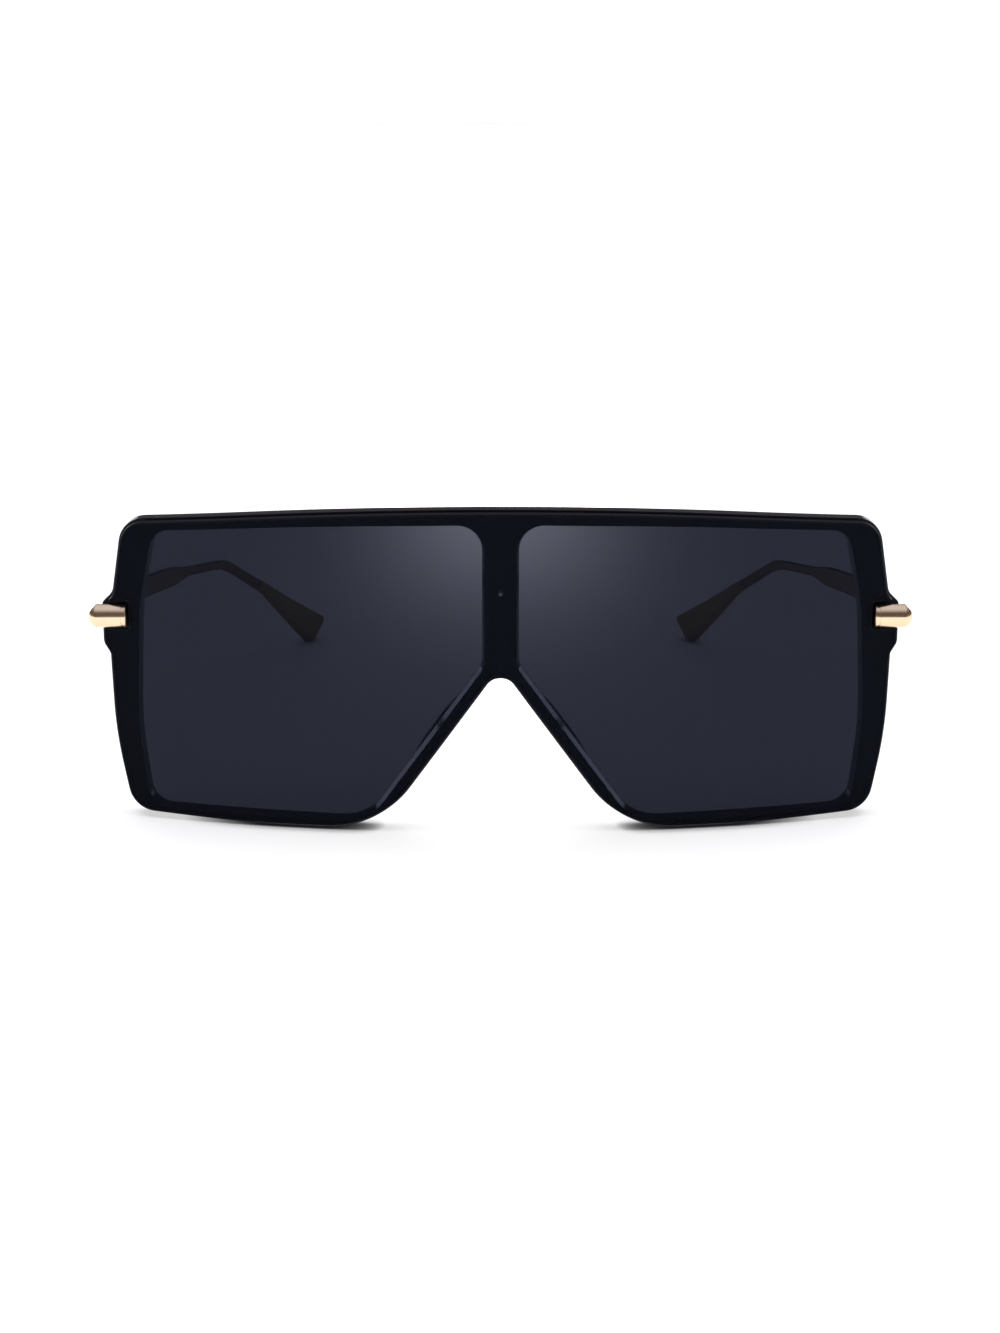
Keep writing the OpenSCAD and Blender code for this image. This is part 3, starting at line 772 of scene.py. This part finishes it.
@dataclass(frozen=True)
class Workshop:
    """Finishes made once, and pieces put into the scene."""

    made: dict[str, bpy.types.Material] = field(default_factory=dict)

    def coat(self, thing: bpy.types.Object, kinds: list[Finish]) -> None:
        """Gives an object the materials of finishes, each made on its first use."""
        for kind in kinds:
            if kind.name not in self.made:
                self.made[kind.name] = kind.make()
            thing.data.materials.append(self.made[kind.name])

    def piece(self, shell: Shell, node: str, body: str, slot: str, kinds: list[Finish]) -> None:
        """Puts a shell into the scene in place of a CAD node.

        Args:
            shell: the piece's shell.
            node: the node it replaces, whose name it takes with "look" added.
            body: the body it rides on.
            slot: the record's material slot, not used.
            kinds: the finishes of its material numbers.
        """
        piece = put(f"{node}_look", shell.mesh(f"{node}_look"))
        self.coat(piece, kinds)
        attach(piece, body)
        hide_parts(node)
        LOG.info("%s: %d faces", piece.name, len(piece.data.polygons))

    def dress(self, node: str, kind: Finish) -> None:
        """Gives a CAD node that stays a better material."""
        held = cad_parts[node]
        held.data.materials.clear()
        self.coat(held, [kind])
        LOG.info("%s: CAD shape kept, %s", node, kind.name)


@dataclass(frozen=True)
class Front:
    """Sizes of the curved front that the frame, the lens, the barrels and the hinges share."""

    half_w: float = 76.3
    height: float = 62.2
    radius: float = 250.0
    face_y: float = -77.0783
    drop: float = 3.76
    corner_share: float = 0.941
    crest_share: float = 0.65
    bottom_lift: float = 1.1
    hinge_z: float = 39.45
    lug_up: float = 2.45
    lug_down: float = 5.3
    lug_in: float = 2.9
    hinge_to_barrel: Triple = (-2.35, -0.3, 0.5)
    nose_half_w: float = 23.2
    nose_apex: float = 32.15
    nose_rim: float = 2.85
    bridge_half_w: float = 3.45
    glue: float = 0.05
    lens_t: float = 2.0
    frame_t: float = 3.6

    @property
    def bend(self) -> Bend:
        """The face's cylinder."""
        return Bend((0.0, self.face_y + self.radius), self.radius, 0, -1)

    @property
    def top_corner(self) -> float:
        """Distance of the top corner from the middle."""
        return self.half_w * self.corner_share

    @property
    def top_slope(self) -> float:
        """Fall of the top edge's straight part per millimetre."""
        return self.drop / (self.top_corner * (1 - self.crest_share / 2))

    @property
    def top_vertex(self) -> float:
        """Height at which both halves of the top edge would meet."""
        return self.height - self.drop + self.top_slope * self.half_w * self.corner_share

    @property
    def nose_slope(self) -> float:
        """Rise of the nose edge per millimetre."""
        return self.nose_apex / self.nose_half_w

    @property
    def barrel(self) -> Array:
        """Middle of the left barrel's inner end, counted from the face at the hinge."""
        x = self.half_w - self.lug_in
        y = self.face_y + self.radius - math.sqrt(self.radius ** 2 - x ** 2)
        return np.array([x, y, self.hinge_z]) + self.hinge_to_barrel

    def outline(self) -> Outline:
        """The whole front, by its left half from the top's middle round to the nose."""
        w, hinge = self.half_w, self.hinge_z
        return Outline.symmetric([
            (0, self.top_vertex, self.top_corner * self.crest_share / self.top_slope),
            (self.top_corner, self.height - self.drop, 5.5),
            (w * 0.972, hinge + 4.5, 3.0),  # shoulder over the lug
            (w, hinge + self.lug_up, 1.2),
            (w, hinge - self.lug_down, 1.2),
            (w * 0.983, hinge - 7.3, 2.0),  # waist under the lug
            (w * 0.977, self.height * 0.26, 80.0),
            (w * 0.9384, self.bottom_lift, 5.6),
            (w * 0.603, 0, 150.0),  # where the bottom edge starts to rise
            (self.nose_half_w, 0, 20.0),
            (0, self.nose_apex, 3.1),
        ])

    def window(self) -> Outline:
        """The left window, from its upper inner corner round by the hinge to the nose."""
        w, side, top_x = self.half_w, self.bridge_half_w, self.half_w * 0.857
        rim = math.hypot(self.nose_half_w, self.nose_apex) / self.nose_half_w
        apex = self.nose_apex + self.nose_rim * rim
        in_z, out_z = self.height - 3.4, self.top_vertex - self.top_slope * top_x - 2.9
        return Outline(np.array([
            (side, in_z, 4.7),
            ((side + top_x) / 2, (in_z + out_z) / 2 + 0.75, 550.0),  # arch of the upper edge
            (top_x, out_z, 3.4),
            (w * 0.8965, self.hinge_z + self.lug_up, 60.0),
            (w * 0.911, self.height * 0.29, 60.0),
            (w * 0.8847, 2.0, 4.0),
            ((apex - 1.6) / self.nose_slope, 1.6, 9.0),
            (side, apex - self.nose_slope * side, 4.0),
        ]))


@dataclass
class FrontFrame:
    """Black plastic frame behind the lens: rounded at the back, with bevelled windows."""

    front: Front
    edge_r: float = 0.55
    front_edge_r: float = 0.12
    bevel: float = 0.45
    bevel_deep: float = 2.2
    step: float = 1.3
    spacing: float = 2.6

    def build(self) -> Shell:
        """Slab with two windows; a window's wall opens towards the lens by its bevel."""
        near, r = self.front.lens_t + self.front.glue, self.edge_r
        far, deep = near + self.front.frame_t, near + self.bevel_deep
        rims = [Rim.rounded(self.front.outline().trace(self.step), near, far, self.front_edge_r, r)]
        hole = self.front.window().trace(self.step)
        mirror = Loop(hole.points[::-1] * [-1, 1], hole.inward[::-1] * [-1, 1])
        for loop in (hole, mirror):
            bevel = Run.line((self.bevel, near), (0, deep), edge=POLISHED)
            back = Run.arc((r, far - r), r, 180, 90, 4)
            rims.append(Rim(loop.turned(), [bevel, Run.line((0, deep), (0, far - r)), back]))
        return slab(self.front.bend, rims, self.spacing)

    def dress(self, shop: Workshop) -> None:
        """Polished black plastic."""
        black = PolishedPlastic("frame_black", (0.012, 0.013, 0.018))
        shop.piece(self.build(), "front_frame", "front", "frame_black", [black])


@dataclass
class ShieldLens:
    """One lens over the whole front, with a notch for each barrel."""

    front: Front
    inset: float = 0.45
    edge_r: float = 0.38
    back_r: float = 0.12
    notch_half: float = 2.45
    notch_over: float = 0.2
    notch_room: float = 0.2
    notch_r: float = 0.5
    lip_r: float = 0.2
    lug_r: float = 0.35
    lug_row: int = 3
    step: float = 1.3
    spacing: float = 3.0

    def outline(self) -> Outline:
        """The front's outline drawn in, with its lugs cut away where the barrels lie.

        A corner moves by the inset times the sum of its sides' normals over one plus their
        product. Convex radii shrink and hollow ones grow by the inset. The notch takes the place
        of the lug's upper corner.
        """
        z, s, lug = self.front.barrel[2], self.inset, self.lug_row
        shape = self.front.outline().corners
        rows = len(shape) // 2 + 1
        half = shape[:rows].copy()
        e = unit(half[:, :2] - np.roll(shape, 1, axis=0)[:rows, :2])
        f = unit(np.roll(shape, -1, axis=0)[:rows, :2] - half[:, :2])
        ne, nf = (np.stack([v[:, 1], -v[:, 0]], axis=1) for v in (e, f))
        half[:, :2] += s * (ne + nf) / (1 + (ne * nf).sum(axis=1))[:, None]
        bend = e[:, 0] * f[:, 1] - e[:, 1] * f[:, 0]
        half[:, 2] += np.where(bend < 0, -s, s)
        inner = self.front.barrel[0] - self.notch_room
        top, bottom = z + self.notch_half + self.notch_over, z - self.notch_half
        over, at = half[lug - 1], half[lug]
        lip_x = over[0] + (at[0] - over[0]) * (over[1] - top) / (over[1] - at[1])
        notch = [(lip_x, top, self.lip_r), (inner, top, self.notch_r),
                 (inner, bottom, self.notch_r), (self.front.half_w - s, bottom, self.lug_r)]
        return Outline.symmetric([*half[:lug], *notch, *half[lug + 1:]])

    def build(self) -> Shell:
        """Slab with a polished front edge."""
        loop = self.outline().trace(self.step)
        rim = Rim.rounded(loop, 0, self.front.lens_t, self.edge_r, self.back_r, 4, 1)
        return slab(self.front.bend, [rim], self.spacing)

    def dress(self, shop: Workshop) -> None:
        """Smoked sheet with a ground edge."""
        kinds = [SmokedLens(), GroundEdge()]
        shop.piece(self.build(), "shield_lens", "front", "lens_smoke", kinds)


@dataclass
class BridgePin:
    """Pin through the lens into the bridge, with a slightly domed end."""

    front: Front
    r: float = 0.5
    z: float = 46.6
    length: float = 3.85
    dome: float = 0.12

    def build(self) -> Shell:
        """Turned profile: dome, shaft and flat end."""
        sphere, half = dome(self.r, self.dome)
        shaft = Run.path([(self.dome, self.r), (self.length, self.r), (self.length, 0)])
        runs = [Run.arc((sphere, 0), sphere, 180, 180 - half, 5, 0.0), *shaft]
        return turned(np.array([0, self.front.face_y, self.z]), np.array([0, 1.0, 0]), runs, 32)

    def dress(self, shop: Workshop) -> None:
        """Pale turned steel, which shows as a dot through the lens."""
        steel = TurnedSteel("pin_steel", (0.9, 0.9, 0.92), 0.1)
        shop.piece(self.build(), "bridge_pin", "front", "screw_steel", [steel])


@dataclass
class NosePad:
    """Fin behind the nose rim: a tapered ridge whose base follows the frame's back."""

    front: Front
    side: Side
    low: float = 0.345
    high: float = 0.785
    inset: float = 1.55
    reach: float = 3.0
    half_t: float = 1.45
    flare: float = 0.75
    taper: float = 0.35
    clear: float = 0.02
    rings: int = 41
    sides: int = 40

    def build(self) -> Shell:
        """Ridge along the nose edge.

        At a share t of its length, with more rings near both ends, its fullness is
        (1 - |2t - 1|^3)^0.5. Round it, the angle a gives a height sin(a)^0.8 times the fullness
        and the reach, and an offset cos(a) times the fullness and the half thickness, which
        tapers with height. The ridge flares away from the nose. Its lower half sinks by a
        twentieth of sin(a).
        """
        front = self.front
        t = 0.5 - 0.5 * np.cos(np.linspace(0, np.pi, self.rings))[:, None]
        a = np.linspace(0, 2 * np.pi, self.sides, endpoint=False)[None]
        full = np.sqrt(np.clip(1 - np.abs(2 * t - 1) ** 3, 0, 1))
        rise = np.where(np.sin(a) > 0, np.abs(np.sin(a)) ** 0.8, 0.05 * np.sin(a))
        height = rise * full * self.reach
        offset = np.cos(a) * full * self.half_t * (1 - self.taper * height / self.reach)
        share = self.low + (self.high - self.low) * t
        run = math.hypot(front.nose_half_w, front.nose_apex)
        inset = self.inset + offset + self.flare * height / self.reach
        x = front.nose_half_w * (1 - share) + inset * front.nose_apex / run
        z = front.nose_apex * share + inset * front.nose_half_w / run
        back = front.lens_t + front.glue + front.frame_t
        reach = np.sqrt((front.radius - back) ** 2 - x ** 2)
        y = front.face_y + front.radius - reach + self.clear + height
        points = np.stack(np.broadcast_arrays(x, y, z), axis=-1)
        around = np.roll(points, -1, axis=1) - np.roll(points, 1, axis=1)
        normals = np.cross(np.gradient(points, axis=0), around)
        tip = unit(np.array([front.nose_half_w, 0, -front.nose_apex]))
        normals[0], normals[-1] = tip, -tip
        outward = points - points.mean(axis=1, keepdims=True)
        normals[1:-1] *= np.sign((outward * normals)[5:-5].sum())
        shell = Shell()
        shell.add_grid(points, unit(normals))
        return shell.on(self.side)

    def dress(self, shop: Workshop) -> None:
        """Satin black plastic."""
        satin = PolishedPlastic("pad_black", (0.014, 0.014, 0.017), 0.22, 0.15, 0.2)
        shop.piece(self.build(), self.side.node("nose_pad"), "front", "pad_black", [satin])


@dataclass
class Barrel:
    """Gold barrel at a hinge: rounded inner end, a turned groove and a domed outer end."""

    front: Front
    side: Side
    r: float = 2.25
    length: float = 7.4
    edge: float = 0.35
    dish: float = 0.06
    dish_share: float = 0.55
    groove_at: float = 0.5
    groove_w: float = 0.5
    groove_deep: float = 0.12
    groove_wall: float = 0.04
    dome: float = 1.5
    dome_edge: float = 0.3
    soft: float = 0.25

    def build(self) -> Shell:
        """Turned profile: dished end, rounding, groove, body and dome."""
        r, e, wall, g0 = self.r, self.edge, self.groove_wall, self.groove_at
        g1, low, flat = g0 + self.groove_w, r - self.groove_deep, r * self.dish_share
        sphere, half = dome(r, self.dome)
        end = self.length - self.dome
        runs = [
            Run.line((self.dish, 0), (0, flat), 2),
            Run.line((0, flat), (0, r - e)),
            Run.arc((e, r - e), e, 180, 90, 6),
            *Run.path([(e, r), (g0, r), (g0 + wall, low), (g1 - wall, low), (g1, r)]),
            Run.line((g1, r), (end - self.soft, r), 2),
            Run.line((end - self.soft, r), (end, r)),
            Run.arc((self.length - sphere, 0), sphere, half, 0, 14, self.dome_edge),
        ]
        return turned(self.front.barrel, np.array([1.0, 0, 0]), runs, 72).on(self.side)

    def dress(self, shop: Workshop) -> None:
        """Polished pale gold with fine turning lines round the barrel."""
        gold = GoldPlate("barrel_gold", (0.95, 0.78, 0.55), 0.12, (5200, 260, 260))
        shop.piece(self.build(), self.side.node("barrel"), "front", "barrel_gold", [gold])


@dataclass
class Hinge:
    """Hinge plate, its screws, the axis and the leaf: small metal that keeps its CAD shape."""

    side: Side

    def dress(self, shop: Workshop) -> None:
        """Satin gold plates and steel screws."""
        satin = GoldPlate("hinge_gold", (0.9, 0.72, 0.48), 0.24, (300, 300, 5200), 0.12)
        for name in ("hinge_plate", "temple_leaf"):
            shop.dress(self.side.node(name), satin)
        for name in ("barrel_screw", "plate_screws", "hinge_screw"):
            shop.dress(self.side.node(name), TurnedSteel())


@dataclass
class Temple:
    """Thin gold arm from the hinge, and its spade-shaped tip.

    A station is the middle line's y and z as shares of the reach and of the hinge's height, the
    height of the arm or tip there, and the radii of its upper and lower corner.
    """

    side: Side
    reach: float = 135.2
    hinge_y: float = -57.3837
    hinge_z: float = 39.45
    curve: Pair = (-155.395, 22.0445)
    curve_r: float = 230.0
    arm_t: float = 1.5
    tip_t: float = 1.9
    joint: Pair = (106.808, 19.993)
    joint_slope: float = -30.2785
    joint_gap: float = 0.05
    arm_edge: float = 0.38
    tip_edge: float = 0.55
    cut_share: float = 0.8
    start: Pair = (-1.254, 1.0177)
    start_half: float = 2.3
    start_r: float = 0.8
    toe_z: float = 0.124
    foot: Pair = (0.9645, 0.9556)
    foot_r: float = 1.2
    outline_step: float = 0.9
    grid_step: float = 1.6
    stations: tuple[tuple[float, ...], ...] = (
        (0.4379, 0.821, 4.2, 20, 20), (0.503, 0.7985, 2.0, 20, 20),
        (0.6753, 0.7148, 2.0, 15, 34), (0.8158, 0.46, 2.5, 60, 25), (0.8913, 0.2826, 6.6, 0, 30))

    def outline(self) -> Outline:
        """Arm and tip in one, seen from the side, with y counted from the hinge axis."""
        upper, lower = (
            [(self.reach * y, self.hinge_z * z + sign * tall / 2, radii[sign < 0])
             for y, z, tall, *radii in self.stations] for sign in (1, -1))
        start, start_z = self.start[0], self.hinge_z * self.start[1]
        foot = [(self.reach * share, 0, self.foot_r) for share in self.foot]
        return Outline(np.array([
            (start, start_z + self.start_half, self.start_r), *upper[:-1],
            (self.reach, self.hinge_z * self.toe_z, self.foot_r), *foot, *lower[::-1],
            (start, start_z - self.start_half, self.start_r)]))

    def part(self, thick: float, edge: float, cut_sense: int) -> Shell:
        """Part of the outline on one side of the joint, on the temple's curve.

        Args:
            thick: thickness of the part.
            edge: radius of its edges.
            cut_sense: 1 for what lies in front of the joint, -1 for what lies behind it.

        Returns:
            The part's shell on its own side.
        """
        slope = math.radians(self.joint_slope)
        way = np.array([math.cos(slope), math.sin(slope)]) * cut_sense
        at = np.array(self.joint) - way * (self.joint_gap if cut_sense < 0 else 0)
        loop = self.outline().trace(self.outline_step).cut(at, way, edge * self.cut_share)
        loop = Loop(loop.points + [self.hinge_y, 0], loop.inward)
        middle = (self.curve[0], self.hinge_y + self.curve[1])
        bend = Bend(middle, self.curve_r + thick / 2, 1, 1)
        rim = Rim.rounded(loop, 0, thick, edge, edge, 5)
        return slab(bend, [rim], self.grid_step).on(self.side)

    def dress(self, shop: Workshop) -> None:
        """Satin gold with lines along the arm, its colour darkened to a painted shade, the arm more
        than the tip.
        """
        body = self.side.node("temple")
        # arm: gold darkened to a painted shade
        arm = GoldPlate("temple_gold", (0.2, 0.135, 0.075), 0.42, (5000, 130, 5000))
        # tip: gold darkened to a painted shade, less than the arm
        tip = GoldPlate("tip_gold", (0.31, 0.225, 0.1), 0.4, (4200, 150, 4200))
        shop.piece(self.part(self.arm_t, self.arm_edge, 1), self.side.node("temple_arm"),
                   body, "temple_gold", [arm])
        shop.piece(self.part(self.tip_t, self.tip_edge, -1), self.side.node("temple_tip"),
                   body, "tip_gold", [tip])


@dataclass
class Studio:
    """White table and backdrop in a dim room, soft light, and the camera, in metres."""

    floor_half: float = 4.0
    backdrop: Pair = (3.6, 0.3)
    room_low: Triple = (0.12, 0.095, 0.1)
    room_high: Triple = (0.66, 0.66, 0.8)
    bright_at: Triple = (0.0, 0.259, 0.966)
    bright_from: float = 0.45
    bright_full: float = 0.9
    sun: float = 2.5
    sun_size: float = 70.0
    sun_tilt: float = -8.0
    glint_at: Triple = (0.55, 0.83, 0.11)
    glint_aim: Triple = (0.0, -0.075, 0.018)
    glint_size: float = 0.22
    glint: float = 1.8
    eye: Triple = (-0.0001, -0.51223, 0.14745)
    aim: Triple = (-0.0001, -0.07708, 0.0328)
    focal: float = 65.05
    sensor: float = 36.0

    def sheet(self, kind: StageWhite, corners: list[Triple]) -> None:
        """White sheet of the stage between four corners."""
        mesh = bpy.data.meshes.new(kind.name)
        mesh.from_pydata(corners, [], [(0, 1, 2, 3)])
        mesh.materials.append(kind.make())
        made_sheet = put(kind.name, mesh)

    def room(self) -> None:
        """Dim room, paler above and behind the object, by how far a way points there."""
        world = bpy.data.worlds.new("room")
        bpy.context.scene.world = world
        world.use_nodes = True
        g = Graph(world.node_tree)
        way = g.node("TexCoord", {}, "Generated")
        towards = g.node("VectorMath", {0: way, 1: self.bright_at}, "Value",
                         operation="DOT_PRODUCT")
        share = g.ramp(towards, (self.bright_from, 0), (self.bright_full, 1))
        colour = g.mix(share, self.room_low, self.room_high)
        g.node("OutputWorld", {"Surface": g.node("Background", {"Color": colour, "Strength": 1.0})})

    def rear_lamp(self, side: Side) -> None:
        """Soft box behind the object, for the glint on the nose edges, not seen by the camera."""
        name, (x, y, z) = side.node("rear"), self.glint_at
        data = bpy.data.lights.new(name, "AREA")
        data.shape, data.energy = "RECTANGLE", self.glint
        data.size = data.size_y = self.glint_size
        put(name, data, (side.value * x, y, z), self.glint_aim).visible_camera = False

    def sun_light(self) -> None:
        """Very soft sun that lights at a plain level and isn't mirrored."""
        data = bpy.data.lights.new("overhead", "SUN")
        data.energy, data.angle = self.sun, math.radians(self.sun_size)
        lamp = put("overhead", data)
        lamp.rotation_euler = (math.radians(self.sun_tilt), 0, 0)
        lamp.visible_glossy = False

    def camera(self) -> None:
        """Camera at the photograph's angle: 450 mm away and 14.8 degrees above."""
        data = bpy.data.cameras.new("camera")
        data.lens, data.sensor_width = self.focal, self.sensor
        bpy.context.scene.camera = put("camera", data, self.eye, self.aim)

    def build(self) -> None:
        """Camera, table, backdrop, room and lamps."""
        bpy.context.scene.view_settings.view_transform = "Standard"
        self.camera()
        h, (y, top) = self.floor_half, self.backdrop
        # the table's glow, the strength of its painted pool of light, and the reach of its painted
        # contact shadow
        self.sheet(StageWhite("table", 1.45, 6.3, 0.003),
                   [(-h, -h, 0), (h, -h, 0), (h, h, 0), (-h, h, 0)])
        self.sheet(StageWhite("backdrop", 2.0, 0.0, 1e-4),
                   [(-h, y, 0), (h, y, 0), (h, y, top), (-h, y, top)])
        self.room()
        self.sun_light()
        for side in Side:
            self.rear_lamp(side)


def main() -> None:
    """Builds the sub-assemblies in order, then the studio."""
    logging.basicConfig(level=logging.INFO, format="%(message)s")
    shop, front = Workshop(), Front()
    for part in (FrontFrame(front), ShieldLens(front), BridgePin(front)):
        part.dress(shop)
    for side in Side:
        for part in (NosePad(front, side), Barrel(front, side), Hinge(side), Temple(side)):
            part.dress(shop)
    Studio().build()


if __name__ == "__main__":
    main()
